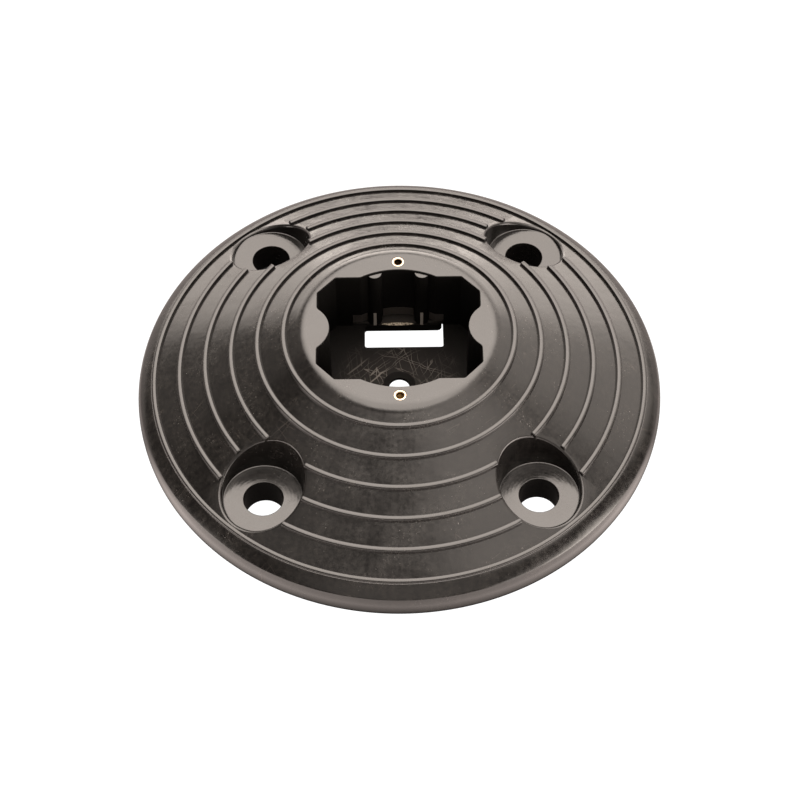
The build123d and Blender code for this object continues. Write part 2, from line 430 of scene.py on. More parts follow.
@dataclass
class Cover:
    """The turned outer form: flat hub, cone, and rolled rim on the road."""

    radius: float = 101.5
    foot_radius: float = 100.8
    foot_break: Pair = (0.3, 0.35)
    hub_height: float = 40.8
    hub_corner: float = 36.8
    hub_lean: float = 29.5
    hub_rounding: float = 9.0
    hub_easing: float = 6.0
    hub_margin: float = 0.5
    slope: float = 26.1
    cone_rings: Pair = (52.0, 74.0)
    notch_run: Pair = (0.9, 0.3)
    widest_height: float = 4.8
    rim_arcs: tuple[Pair, ...] = ((9.2, 63.5), (2.66, 45.0), (24.6, 33.2), (0.7, -70.0))
    rim_flank: tuple[Pair, ...] = ((0.08, 0.66), (0.31, 0.33))
    steps: int = 288

    def rim(self) -> tuple[list[tuple[Pair, float]], Pair]:
        """Lay out the rim's arcs, which run into each other without a corner.

        Returns:
            Centres and turns from the widest point up and inwards, and the notch that they end in.
        """
        edge, lean, arcs = (self.radius, self.widest_height), 90.0, []
        for size, start in self.rim_arcs:
            centre = off(edge, -size, lean)
            arcs.append((centre, lean - start))
            edge, lean = off(centre, size, start), start
        return arcs, edge

    def build(self) -> Solid:
        """Turn the cover's section, solid down to the road.

        Returns:
            The plain cover without ribs and pockets.
        """
        lean, edge = math.radians(self.slope), math.radians(self.hub_lean)
        drop = self.hub_rounding * (1 - math.cos(edge))
        drop += self.hub_easing * (math.cos(lean) - math.cos(edge))
        run = self.hub_rounding * math.sin(edge)
        run += self.hub_easing * (math.sin(edge) - math.sin(lean))
        cone_start = self.hub_corner + drop / math.tan(lean)
        hub_flat = cone_start - run
        pen = Pen("cover", (0, self.hub_height))
        pen.line((hub_flat - self.hub_margin, self.hub_height), (hub_flat, self.hub_height))
        pen.arc((hub_flat, self.hub_height - self.hub_rounding), -self.hub_lean, 14)
        pen.arc(off(pen.at, self.hub_easing, self.hub_lean), self.hub_lean - self.slope, 3)
        arcs, notch = self.rim()
        cone_end = notch[0] - self.notch_run[0]
        for radius in (cone_start + self.hub_margin, *self.cone_rings, cone_end):
            pen.line((radius, cone_height(radius)))
        dip = cone_end + self.notch_run[1]
        pen.line((dip, cone_height(dip) + notch[1] - cone_height(notch[0])), notch)
        for centre, turn in reversed(arcs):
            pen.arc(centre, -turn, 8)
        for inset, share in self.rim_flank:
            pen.line((self.radius - inset, self.widest_height * share))
        inset, rise = self.foot_break
        pen.line((self.foot_radius, rise), (self.foot_radius - inset, 0), (0, 0))
        return pen.turned(self.steps)


@dataclass
class BoltPockets:
    """Four drafted pockets with rounded mouths, and a road-bolt bore in each floor."""

    spacing_x: float = 102.1
    spacing_y: float = 115.7
    radius: float = 14.95
    floor: float = 12.25
    draft: float = 4.0
    mouth_rounding: float = 1.15
    floor_rounding: float = 0.35
    bore_radius: float = 7.35
    bore_rounding: float = 0.3
    arc_steps: int = 8
    short: float = 8.0
    steps: int = 120

    def points(self) -> list[Pair]:
        """Plan points of the four bolts, in millimetres."""
        return [(x * self.spacing_x / 2, y * self.spacing_y / 2) for x in (-1, 1) for y in (-1, 1)]

    def corner(self) -> Vector:
        """Plan point of the rear right bolt, in metres."""
        return Vector((self.spacing_x, self.spacing_y, 0)) / 2 * MM

    def bearing(self) -> float:
        """Angle of the rear right bolt, in degrees from the right."""
        return math.degrees(math.atan2(self.spacing_y, self.spacing_x))

    def wall(self, height: float) -> float:
        """Radius of the drafted wall at a height."""
        return self.radius + (height - self.floor) * math.tan(math.radians(self.draft))

    def section(self, point: Pair, angle: float) -> list[Pair]:
        """Section of the pocket's space in one direction from its axis.

        Args:
            point: Plan point of the pocket's axis.
            angle: Direction from the axis, in radians.

        Returns:
            Distances from the axis and heights, from the floor to above the mouth.
        """
        def ground(distance: float) -> float:
            """Find the height of the cone in this direction.

            Args:
                distance: Distance from the pocket's axis.

            Returns:
                The height in millimetres.
            """
            x = point[0] + distance * math.cos(angle)
            y = point[1] + distance * math.sin(angle)
            return cone_height(math.hypot(x, y))

        mouth = self.wall(ground(self.radius))
        for _ in range(12):
            mouth = self.wall(ground(mouth))
        fall = math.atan2(ground(mouth + 0.5) - ground(mouth - 0.5), 1.0)
        upright = math.radians(90 - self.draft)
        turn = upright - fall
        size, fillet = self.mouth_rounding, self.floor_rounding
        back = size * math.tan(turn / 2)
        tangent = (mouth - back * math.cos(upright), ground(mouth) - back * math.sin(upright))
        centre = (tangent[0] + size * math.sin(upright), tangent[1] - size * math.cos(upright))
        low = self.floor + fillet
        begin = 0.0
        if tangent[1] < low:
            begin = math.asin(min(1.0, (low - centre[1]) / size)) + math.radians(self.draft)
        end = turn - math.radians(self.short)
        arc = []
        for i in range(self.arc_steps + 1):
            lean = math.pi / 2 + upright - begin - (end - begin) * i / self.arc_steps
            arc.append((centre[0] + size * math.cos(lean), centre[1] + size * math.sin(lean)))
        foot = arc[0][0] if begin else self.wall(low)
        run = fall + math.radians(self.short)
        out = (arc[-1][0] + math.cos(run), arc[-1][1] + math.sin(run))
        return [
            (foot - fillet * 1.1, self.floor),
            (foot - fillet * 0.35, self.floor + fillet * 0.22),
            (foot, low),
            *arc,
            out,
            (out[0], Cover.hub_height + 4),
        ]

    def pocket(self, point: Pair) -> Solid:
        """Cutter of one pocket: a circle extruded ring by ring along its sections.

        Args:
            point: Plan point of the pocket's axis.

        Returns:
            The cutter.
        """
        bpy.ops.object.select_all(action="DESELECT")
        bpy.ops.mesh.primitive_circle_add(
            vertices=self.steps, radius=self.radius * MM, fill_type="NGON")
        item = bpy.context.object
        item.name = "pocket"
        axis = Vector((*point, 0)) * MM
        angles = [2 * math.pi * i / self.steps for i in range(self.steps)]
        sections = [self.section(point, angle) for angle in angles]
        edit()
        bpy.ops.transform.translate(value=axis)
        for level in range(len(sections[0])):
            if level:
                bpy.ops.mesh.extrude_region_move()
            mesh = bmesh.from_edit_mesh(item.data)
            for vert in (v for v in mesh.verts if v.select):
                way = math.atan2(vert.co.y - axis.y, vert.co.x - axis.x)
                index = round(way / (2 * math.pi) * self.steps) % self.steps
                distance, height = sections[index][level]
                vert.co.x = (point[0] + distance * math.cos(angles[index])) * MM
                vert.co.y = (point[1] + distance * math.sin(angles[index])) * MM
                vert.co.z = height * MM
            bmesh.update_edit_mesh(item.data)
        edit(False)
        return tidy_mesh(item)

    def cut_pockets(self, body: Solid) -> None:
        """Cut the four pockets out of the plain cover."""
        combine(body, gather([self.pocket(point) for point in self.points()]), Joint.CUT)

    def cut_bores(self, body: Solid) -> None:
        """Cut the four bores through the pocket floors."""
        bore = flared_bore("bore", self.bore_radius, self.floor, self.bore_rounding)
        combine(body, set_out(bore, *self.points()), Joint.CUT)


@dataclass
class GripRibs:
    """Crowned ribs on the cone. Those that would run into a pocket stop short of it."""

    pockets: BoltPockets
    count: int = 6
    outer_radius: float = 94.7
    pitch: float = 10.2
    lift: float = 1.3
    crown: float = 3.0
    crest: Pair = (-11.0, 12.0)
    crest_by_rim: Pair = (-11.0, 8.0)
    hub_lean: float = 70.0
    hub_round: float = 0.2
    road_lean: float = 78.0
    road_round: float = 0.7
    root: float = 0.8
    stop: float = 16.3
    end_round: float = 0.45
    step: float = 1.5

    def section(self, radius: float, crest: Pair) -> Pen:
        """Draw a rib's section: leaning wall to the hub, crowned crest, steep wall to the road.

        Args:
            radius: Radius of the rib on the cone.
            crest: Angles from the upright at which the crown starts and ends.

        Returns:
            The pen with the closed section.
        """
        middle = (radius, cone_height(radius) + self.lift - self.crown)
        shoulder = off(middle, self.crown - self.hub_round, crest[0])
        brow = off(middle, self.crown - self.road_round, crest[1])
        wall = off(shoulder, self.hub_round, -self.hub_lean)
        foot = off(wall, self.lift + self.root, -self.hub_lean - 90)
        pen = Pen("rib", foot)
        pen.line(wall).arc(shoulder, -(self.hub_lean + crest[0]), 4)
        pen.arc(middle, crest[0] - crest[1], 10).arc(brow, crest[1] - self.road_lean, 5)
        return pen.line((pen.at[0] + 0.1, cone_height(pen.at[0]) - self.root), foot).closed()

    def ring(self, radius: float, start: float, sweep: float, crest: Pair) -> Solid:
        """One stretch of a rib, spun from its section and closed with rounded ends.

        Args:
            radius: Radius of the rib on the cone.
            start: Angle where it starts, in degrees.
            sweep: Angle that it covers, 360 for a closed ring.
            crest: Angles of its crown.

        Returns:
            The stretch as a closed solid.
        """
        item = self.section(radius, crest).item
        steps = max(3, round(sweep / self.step))
        bpy.ops.mesh.spin(
            steps=steps, angle=-math.radians(sweep), center=(0, 0, 0), axis=(0, 0, 1))
        if sweep < 360:
            self.close_end(radius, math.radians(sweep), 1)
            select_edges(item, lambda edge: edge.is_boundary)
            self.close_end(radius, 0.0, -1)
        edit(False)
        select_only(item)
        item.rotation_euler.z = math.radians(start)
        bpy.ops.object.transform_apply(location=False, rotation=True, scale=False)
        return tidy_mesh(item)

    def close_end(self, radius: float, turn: float, way: int) -> None:
        """In edit mode, extrude the selected end inwards in three rounded steps and fill it.

        Args:
            radius: Radius of the rib on the cone.
            turn: Angle of this end, in radians.
            way: 1 at the far end, -1 at the near end.
        """
        c, s = math.cos(turn), math.sin(turn)
        centre = Vector((radius * c, radius * s, cone_height(radius))) * MM
        along = Vector((-s, c, 0)) * way
        inset = self.end_round / self.lift
        rise, size = 0.0, 1.0
        for degrees in (30, 60, 90):
            before = rise, size
            rise = math.sin(math.radians(degrees))
            size = 1 - inset * (1 - math.cos(math.radians(degrees)))
            move = along * (rise - before[0]) * self.end_round * MM
            bpy.ops.mesh.extrude_region_move(TRANSFORM_OT_translate={"value": move})
            centre = centre + move
            bpy.ops.transform.resize(value=(size / before[1],) * 3, center_override=centre)
        bpy.ops.mesh.edge_face_add()

    def build(self) -> Solid:
        """All ribs as separate stretches in one object.

        Returns:
            The stretches, ready to be added to the cover.
        """
        circle = math.hypot(self.pockets.spacing_x, self.pockets.spacing_y) / 2
        bolt = self.pockets.bearing()
        bolts = [bolt, 180 - bolt, 180 + bolt, 360 - bolt]
        ribs = []
        for index in range(self.count):
            radius = self.outer_radius - index * self.pitch
            crest = self.crest if index else self.crest_by_rim
            if abs(radius - circle) > self.pockets.radius:
                ribs.append(self.ring(radius, 0, 360, crest))
                continue
            short = self.stop + self.end_round
            share = (radius**2 + circle**2 - short**2) / (2 * radius * circle)
            gap = math.degrees(math.acos(share))
            for angle, following in zip(bolts, bolts[1:] + [bolts[0] + 360]):
                ribs.append(self.ring(radius, angle + gap, following - angle - 2 * gap, crest))
        return gather(ribs)


@dataclass
class PostSocket:
    """The lobed socket for the post's plug, with its floor, crush ribs, latch recess and holes."""

    half_width: float = 31.0
    half_length: float = 24.3
    lobe_x: float = 23.3
    lobe_y: float = 17.0
    bow_peak: float = 28.05
    bow_half: float = 14.5
    boss_tip: float = 26.2
    boss_radius: float = 11.6
    lobe_rounding: float = 1.0
    blend: float = 2.2
    edge_break: float = 0.22
    flare: float = 0.6
    floor: float = 11.3
    thickness: float = 3.6
    rib_x: float = 9.15
    rib_y: float = 27.3
    rib_radius: float = 2.9
    rib_setback: float = 0.8
    rib_rounding: float = 0.15
    land_width: float = 1.15
    land_proud: float = 0.12
    land_height: float = 7.6
    recess_half: float = 17.9
    recess_height: float = 6.6
    recess_depth: float = 1.6
    slot_x: Pair = (-13.3, 17.6)
    slot_y: Pair = (13.2, 24.2)
    slot_rounding: float = 1.0
    notch_width: float = 0.5
    notch_rear: float = 27.4
    notch_rounding: float = 1.8
    below_radius: float = 41.0
    hole_y: float = -5.1
    hole_radius: float = 4.05
    sink_radius: float = 6.1
    sink_depth: float = 1.2
    hole_rounding: float = 0.2
    slack: float = 0.3

    def outline(self, name: str, height: float, margin: float = 0.0) -> Pen:
        """Draw the socket's closed plan, or a plan that stands outside it all round.

        Args:
            name: Name of the drawing's object.
            height: Height of the plan.
            margin: How far the plan stands outside the socket.

        Returns:
            The pen with the closed plan.
        """
        boss = (self.boss_tip + self.boss_radius, 0.0)
        boss_radius = self.boss_radius - margin
        rise = self.bow_peak - self.half_length
        bow = (self.bow_half**2 + rise**2) / (2 * rise)
        bow_centre = (0.0, self.bow_peak - bow)
        side = self.half_width + margin
        end = self.half_length + margin
        foot_blend = self.blend + margin
        bow_blend = max(self.blend - margin, 0.01)
        lobe = self.lobe_rounding + margin
        run = math.atan2(self.half_length - self.lobe_y, self.lobe_x - self.half_width)
        pen = Pen(name, (boss[0] - boss_radius, 0.0), Sheet.PLAN, height)
        inner = side - foot_blend
        foot = (inner, math.sqrt((boss_radius + foot_blend) ** 2 - (boss[0] - inner) ** 2))
        lean = math.degrees(math.atan2(foot[1], boss[0] - foot[0]))
        pen.arc(boss, -lean, 14).arc(foot, lean, 8)
        first = math.tan((run - math.pi / 2) / 2)
        corner = (self.half_width - self.lobe_rounding, self.lobe_y - self.lobe_rounding * first)
        pen.line((side, corner[1])).arc(corner, math.degrees(run) - 90, 6)
        second = math.tan((math.pi - run) / 2)
        corner = (self.lobe_x + self.lobe_rounding * second, self.half_length - self.lobe_rounding)
        normal = run - math.pi / 2
        pen.line((corner[0] + lobe * math.cos(normal), corner[1] + lobe * math.sin(normal)))
        pen.arc(corner, 180 - math.degrees(run), 6)
        reach = bow + margin + bow_blend
        turn = math.asin((end + bow_blend - bow_centre[1]) / reach)
        turn_in = (bow_centre[0] + reach * math.cos(turn), end + bow_blend)
        pen.line((turn_in[0], end)).arc(turn_in, math.degrees(turn) - 90, 6)
        return pen.arc(bow_centre, 90 - math.degrees(turn), 12).mirrored()

    def cut(self, body: Solid) -> None:
        """Cut the socket with its recess and holes, and stand the crush ribs in it.

        Args:
            body: Moulding that gets the socket.
        """
        for tool in (self.space, self.space_below, self.recess):
            combine(body, tool(), Joint.CUT)
        for tool in (self.crush_rib, self.land):
            pair = [tool(way * self.rib_x) for way in (-1, 1)]
            combine(body, gather(pair), Joint.ADD)
        combine(body, gather([self.slot(), self.anchor_hole()]), Joint.CUT)

    def space(self) -> Solid:
        """Cutter of the socket above its floor, with a broken top edge.

        Returns:
            The cutter.
        """
        edge = Cover.hub_height - self.edge_break
        top = edge + self.flare
        plans = (("low", self.floor, 0.0), ("edge", edge, 0.0), ("flare", top, self.flare))
        return bridged([self.outline(*plan).put_down() for plan in plans], "socket_space")

    def space_below(self) -> Solid:
        """Cutter of the open round space between the socket floor and the road.

        Returns:
            The cutter.
        """
        under, foot = self.floor - self.thickness, -2.0
        pen = Pen("space_below", (0, foot))
        pen.line((self.below_radius, foot), (self.below_radius, under), (0, under))
        return pen.turned(96)

    def recess(self) -> Solid:
        """Cutter of the shallow recess low in the rear wall.

        Returns:
            The cutter.
        """
        plan = self.outline("recess", self.floor + 0.01).prism(self.recess_height)
        moved = set_out(plan, (0, self.recess_depth))
        half, front, rear = self.recess_half, self.slot_y[0], 40
        window = Pen("window", (-half, front), Sheet.PLAN, 0)
        window.line((half, front), (half, rear), (-half, rear), (-half, front))
        combine(moved, window.prism(Cover.hub_height), Joint.SHARE)
        return moved

    def crush_rib(self, x: float) -> Solid:
        """One half-round rib up the rear wall, with its top edge rounded a little.

        Args:
            x: Place of the rib across the socket.

        Returns:
            The rib, rooted in the floor.
        """
        foot, top = self.floor - 1, Cover.hub_height - self.rib_setback
        edge = top - self.rib_rounding
        pen = Pen("crush_rib", (0, foot))
        pen.line((self.rib_radius, foot), (self.rib_radius, edge))
        pen.arc((self.rib_radius - self.rib_rounding, edge), 90, 3).line((0, top))
        return set_out(pen.turned(40), (x, self.rib_y))

    def land(self, x: float) -> Solid:
        """The narrow flat land low on the front of one crush rib.

        Args:
            x: Place of the rib across the socket.

        Returns:
            The land, rooted in the floor and the rib.
        """
        left, right = x - self.land_width / 2, x + self.land_width / 2
        front, rear = self.rib_y - self.rib_radius - self.land_proud, self.rib_y - 1
        root = 0.5
        pen = Pen("land", (left, front), Sheet.PLAN, self.floor - root)
        pen.line((right, front), (right, rear), (left, rear), (left, front))
        return pen.prism(self.land_height + root)

    def slot(self) -> Solid:
        """Cutter of the latch slot through the floor, with rounded corners and a notch.

        Returns:
            The cutter.
        """
        (left, right), (front, rear), r = self.slot_x, self.slot_y, self.slot_rounding
        low = 4.0
        pen = Pen("slot", (left + r, front), Sheet.PLAN, low)
        pen.line((right - r, front)).arc((right - r, front + r), 90, 5)
        inside, bend = right - self.notch_width, self.notch_rounding
        pen.line((right, self.notch_rear), (inside, self.notch_rear), (inside, rear + bend))
        pen.arc((inside - bend, rear + bend), -90, 6)
        pen.line((left + r, rear)).arc((left + r, rear - r), 90, 5)
        pen.line((left, front + r)).arc((left + r, front + r), 90, 5)
        return pen.prism(self.floor - low + 1.0)

    def anchor_hole(self) -> Solid:
        """Cutter of the anchor hole, countersunk from above and from below.

        Returns:
            The cutter.
        """
        under, above = self.floor - self.thickness, self.floor + 1
        edge = self.sink_radius + self.hole_rounding
        pen = Pen("anchor_hole", (0, under - 1))
        pen.line((self.hole_radius + self.sink_depth + 1, under - 1))
        pen.line((self.hole_radius, under + self.sink_depth))
        pen.line((self.hole_radius, self.floor - self.sink_depth))
        pen.line((self.sink_radius, self.floor - 0.1), (edge, self.floor), (edge + 0.6, above))
        return set_out(pen.line((0, above)).turned(72), (0, self.hole_y))

    def holds(self, point: Vector, normal: Vector) -> bool:
        """Whether a face is on the socket's own walls, floor or holes.

        Args:
            point: Centre of the face in millimetres.
            normal: The way it faces.

        Returns:
            True for a face that the socket's core moulded.
        """
        low, high = self.floor - self.thickness + 0.1, Cover.hub_height - self.edge_break - 0.1
        in_recess = point.z < self.floor + self.recess_height
        ledge = normal.z > 0.3 and point.z > self.floor + self.recess_height
        if ledge or not low < point.z < high:
            return False
        rear = self.bow_peak + (self.recess_depth if in_recess else 0) + self.slack
        across = abs(point.x) < self.half_width + self.slack
        return across and -self.bow_peak - self.slack < point.y < rear

    def on_rib_land(self, point: Vector, normal: Vector) -> bool:
        """Whether a face is the front of a crush rib's land, which the plug scrapes flat; it takes
        a painted highlight.

        Args:
            point: Centre of the face in millimetres.
            normal: The way it faces.

        Returns:
            True for a face on the land.
        """
        across = abs(abs(point.x) - self.rib_x) < self.land_width / 2
        along = self.slot_y[0] < point.y < self.rib_y - self.rib_radius
        return across and along and point.z > self.floor and normal.y < -0.9

    def recessed(self, point: Vector, normal: Vector) -> bool:
        """Whether a face of the socket is on the rear wall of the latch recess.

        Args:
            point: Centre of the face in millimetres.
            normal: The way it faces.

        Returns:
            True for a face on that wall, clear of the crush ribs.
        """
        low = point.z < self.floor + self.recess_height
        deep = point.y > self.half_length + self.recess_depth * 0.75
        clear = abs(abs(point.x) - self.rib_x) > self.rib_radius + 0.1
        return low and deep and clear and normal.y < -0.3


@dataclass
class Underside:
    """The cored space under the cover, with the webs, rings and bosses that stand on the road."""

    socket: PostSocket
    pockets: BoltPockets
    shell: float = 4.0
    rim_wall: float = 5.0
    cup_wall: float = 4.0
    boss_wall: float = 4.7
    pocket_wall: float = 3.5
    web: float = 3.0
    web_reach: float = 110.0
    rings: tuple[float, ...] = (53.0, 75.5)
    insert_y: float = 32.0
    insert_boss: float = 5.0
    insert_boss_depth: float = 13.0
    foot: float = -1.0
    head: float = 50.0

    def column(self, name: str, radius: float, low: float, point: Pair) -> Solid:
        """A round column that stays standing in the cored space.

        Args:
            name: Name of the column.
            radius: Its radius.
            low: Height of its foot.
            point: Its plan point.

        Returns:
            The column.
        """
        pen = Pen(name, (0, low))
        pen.line((radius, low), (radius, self.head), (0, self.head))
        return set_out(pen.turned(48), point)

    def ring(self, radius: float) -> Solid:
        """A ring wall round the axis.

        Args:
            radius: Radius of its middle.

        Returns:
            The wall.
        """
        inner, outer = radius - self.web / 2, radius + self.web / 2
        low, high = self.foot - 1, 45
        pen = Pen("ring", (inner, low))
        return pen.line((outer, low), (outer, high), (inner, high), (inner, low)).turned(144)

    def web_wall(self, angle: float) -> Solid:
        """A wall through the axis.

        Args:
            angle: Its angle in degrees.

        Returns:
            The wall.
        """
        c, s = math.cos(math.radians(angle)), math.sin(math.radians(angle))
        half, reach = self.web / 2, self.web_reach
        corners = [(-reach, -half), (reach, -half), (reach, half), (-reach, half)]
        turned = [(c * x - s * y, s * x + c * y) for x, y in corners]
        pen = Pen("web", turned[0], Sheet.PLAN, self.foot - 1)
        return pen.line(*turned[1:], turned[0]).prism(self.head)

    def build(self) -> Solid:
        """The cored space as one cutter.

        Returns:
            The cutter, which reaches a little below the road.
        """
        lean = math.radians(Cover.slope)
        outer = Cover.radius - self.rim_wall
        ceiling = Cover.hub_height - self.shell
        inner = Cover.hub_corner - self.shell * math.tan(lean / 2)
        pen = Pen("cored_space", (0, self.foot))
        pen.line((outer, self.foot), (outer, cone_height(outer) - self.shell / math.cos(lean)))
        pen.line((inner, ceiling), (0, ceiling))
        space = pen.turned(192)
        bolt = self.pockets.bearing()
        for angle in (-bolt, 0, bolt, 90):
            combine(space, self.web_wall(angle), Joint.CUT)
        for radius in self.rings:
            combine(space, self.ring(radius), Joint.CUT)
        low = self.foot - 1
        cup = self.socket.outline("cup", low, self.cup_wall).prism(self.head)
        combine(space, cup, Joint.CUT)
        boss = self.pockets.bore_radius + self.boss_wall
        wall = self.pockets.radius + self.pocket_wall
        under = self.pockets.floor - self.shell
        for point in self.pockets.points():
            combine(space, self.column("boss", boss, low, point), Joint.CUT)
            combine(space, self.column("pocket_boss", wall, under, point), Joint.CUT)
        base = Cover.hub_height - self.insert_boss_depth
        for y in (-self.insert_y, self.insert_y):
            combine(space, self.column("insert_boss", self.insert_boss, base, (0, y)), Joint.CUT)
        return space


def strokes(node: Draw, place: Socket, size_mm: float, stretch: float, width: float,
            turns: Sequence[float], spread: float) -> Socket:
    """Fine strokes: contour lines of a long-drawn noise, crossed in several directions.

    Args:
        node: Adds a node to the material.
        place: Plan coordinates.
        size_mm: Scale of the noise across the strokes.
        stretch: How much longer it is along them.
        width: Half width of a contour line.
        turns: Directions in radians.
        spread: What a direction is divided by to set its contour's level apart from the middle.

    Returns:
        One on a stroke, and zero elsewhere.
    """
    lines = None
    for turn in turns:
        drawn = node("Mapping", {"vector_type": "TEXTURE", "Rotation": (0, 0, turn),
                                 "Scale": (1, stretch, 1), "Vector": place})
        line = node("TexNoise", {"Scale": 1 / (size_mm * MM), "Detail": 0.0, "Vector": drawn})
        line = node("Math COMPARE", {0: line, 1: 0.5 + turn / spread, 2: width})
        lines = line if lines is None else node("Math MAXIMUM", {0: lines, 1: line})
    return lines


class Finish:
    """A procedural finish on Object coordinates. Each kind draws its own surface."""

    name: str
    colour: str
    roughness: float
    relief_mm: float

    def surface(self, node: Draw, place: Socket) -> Socket:
        """Draw the finish and give its shader. Each kind has its own."""
        raise NotImplementedError

    def coat(self, node: Draw, layers: Sequence[tuple[Socket, str]],
             swings: Sequence[tuple[Socket, float]], relief: Socket, body: dict,
             dulls: Sequence[tuple[Socket, float]] = ()) -> Socket:
        """Put the shader together from the marks on a surface.

        Args:
            node: Adds a node to the material.
            layers: Masks with the colours that they lay over the finish's own, lowest first.
            swings: Noises with how far each swings the roughness about its value.
            relief: Height of the relief.
            body: The shader's own settings.
            dulls: Masks with what each adds to the roughness.

        Returns:
            The shader.
        """
        colour = hex_linear(self.colour)
        for mask, shade in layers:
            shades = {"data_type": "RGBA", 0: mask, 6: colour, 7: hex_linear(shade)}
            colour = node("Mix", shades, 2)
        rough = self.roughness - sum(weight for _, weight in swings) / 2
        for mark, weight in (*swings, *dulls):
            rough = node("Math MULTIPLY_ADD", {0: mark, 1: weight, 2: rough})
        bump = node("Bump", {"Strength": 1.0, "Distance": self.relief_mm * MM, "Height": relief})
        marks = {"Base Color": colour, "Roughness": rough, "Normal": bump}
        return node("BsdfPrincipled", {**body, **marks})

    def material(self) -> bpy.types.Material:
        """The finish as a material.

        Returns:
            The material with its nodes.
        """
        material = bpy.data.materials.new(self.name)
        material.use_nodes = True
        material.node_tree.nodes.clear()
        node = partial(add_node, material.node_tree)
        shader = self.surface(node, node("TexCoord", out="Object"))
        node("OutputMaterial", {"Surface": shader})
        return material


@dataclass(frozen=True)
class MouldedPlastic(Finish):
    """Black polypropylene as it leaves the mould: satin, faintly mottled, a little dusty."""

    name: str = "moulded_black_polypropylene"
    colour: str = "#090808"
    pale: str = "#121110"
    bloom: str = "#1f1d1b"
    scratch: str = "#3a3632"
    dust_and_highlight: str = "#75726e"
    roughness: float = 0.21
    specular: float = 0.46
    ior: float = 1.5
    mottle_mm: float = 1.5
    cloud_mm: float = 13.0
    streaks: float = 46.0
    streak_draw: tuple[float, float, float] = (9, 9, 60)
    speck_mm: float = 0.55
    patch_mm: float = 16.0
    scratch_mm: float = 5.0
    tool_pitch_mm: float = 1.25
    relief_mm: float = 0.009
    pockets: BoltPockets = field(default_factory=BoltPockets)
    ribs: Pair = (94.7, 10.2)
    rib_foot: float = 1.25

    def surface(self, node: Draw, place: Socket) -> Socket:
        """Draw the satin skin with its marks and dust.

        Args:
            node: Adds a node to the material.
            place: Object coordinates.

        Returns:
            The shader.
        """
        # Polypropylene sets with a skin that copies the steel: a soft sheen broken by cloudy
        # cooling marks, streaks along the flow from the hub, turned rings round the pockets and
        # pale dust that stays in the corners of the ribs.
        flat = node("VectorMath MULTIPLY", {0: place, 1: (1, 1, 0)})
        radius = node("VectorMath LENGTH", {0: flat}, "Value")
        mottle = node("TexNoise", {"Scale": 1 / (self.mottle_mm * MM), "Detail": 4.0,
                                   "Roughness": 0.62, "Vector": place})
        cloud = node("TexNoise", {
            "Scale": 1 / (self.cloud_mm * MM), "Detail": 3.0, "Vector": place})
        around = node("VectorMath NORMALIZE", {0: flat})
        around = node("VectorMath SCALE", {0: around, "Scale": self.streaks})
        along = node("VectorMath MULTIPLY_ADD", {0: place, 1: self.streak_draw, 2: around})
        streak = node("TexNoise", {"Scale": 1.0, "Detail": 3.0, "Vector": along})

        # The four pockets are mirror images, so one fold of the plan serves them all.
        folded = node("VectorMath ABSOLUTE", {0: flat})
        bolt = node("VectorMath DISTANCE", {0: folded, 1: self.pockets.corner()}, "Value")
        edge = self.pockets.radius
        clean = node("MapRange", {
            "From Min": (edge + 0.5) * MM, "From Max": (edge + 0.9) * MM, "Value": bolt})
        by_mouth = node("MapRange", {
            "From Min": (edge + 5.0) * MM, "From Max": (edge + 3.4) * MM, "Value": bolt})
        turn = node("Math MULTIPLY", {0: bolt, 1: 2 * math.pi / (self.tool_pitch_mm * MM)})
        turn = node("Math MULTIPLY_ADD", {0: mottle, 1: 2.5, 2: turn})
        rings = node("Math MULTIPLY", {0: node("Math SINE", {0: turn}), 1: by_mouth})

        # Dust: loose specks, thicker where the skin is cloudy, and a dotted line at each rib's
        # outer foot.
        speck = node("TexNoise", {
            "Scale": 1 / (self.speck_mm * MM), "Detail": 1.5, "Vector": place})
        settle = node("MapRange", {
            "From Min": 0.45, "From Max": 0.70, "To Max": 0.10, "Value": cloud})
        settle = node("Math ADD", {0: speck, 1: settle})
        loose = node("MapRange", {
            "From Min": 0.765, "From Max": 0.85, "To Max": 0.6, "Value": settle})
        foot = node("Math SUBTRACT", {0: radius, 1: (self.ribs[0] + self.rib_foot) * MM})
        foot = node("Math PINGPONG", {0: foot, 1: self.ribs[1] / 2 * MM})
        foot = node("MapRange", {"From Min": 0.26 * MM, "From Max": 0.06 * MM, "Value": foot})
        dotted = node("MapRange", {
            "From Min": 0.55, "From Max": 0.66, "To Max": 0.10, "Value": speck})
        dotted = node("Math MULTIPLY", {0: foot, 1: dotted})
        dust_and_highlight = node("Math MAXIMUM", {0: loose, 1: dotted})
        dust_and_highlight = node("Math MULTIPLY", {0: dust_and_highlight, 1: clean})

        # Handling marks come in patches, and none are down in the pockets.
        patch = node("TexNoise", {"Scale": 1 / (self.patch_mm * MM), "Detail": 2.0, "Vector": flat})
        patch = node("MapRange", {
            "From Min": 0.56, "From Max": 0.68, "To Max": 0.55, "Value": patch})
        patch = node("Math MULTIPLY", {0: patch, 1: clean})
        lines = strokes(node, flat, self.scratch_mm, 9, 0.005, (0.7, -0.9), 9)
        scratch = node("Math MULTIPLY", {0: lines, 1: patch})

        # Bloom: a faint grey bloom in grains, thicker where the plastic set last.
        grains = node("MapRange", {"From Min": 0.36, "From Max": 0.72, "Value": mottle})
        beds = node("MapRange", {
            "From Min": 0.36, "From Max": 0.62, "To Min": 0.35, "Value": cloud})
        bloom = node("Math MULTIPLY", {0: grains, 1: beds})

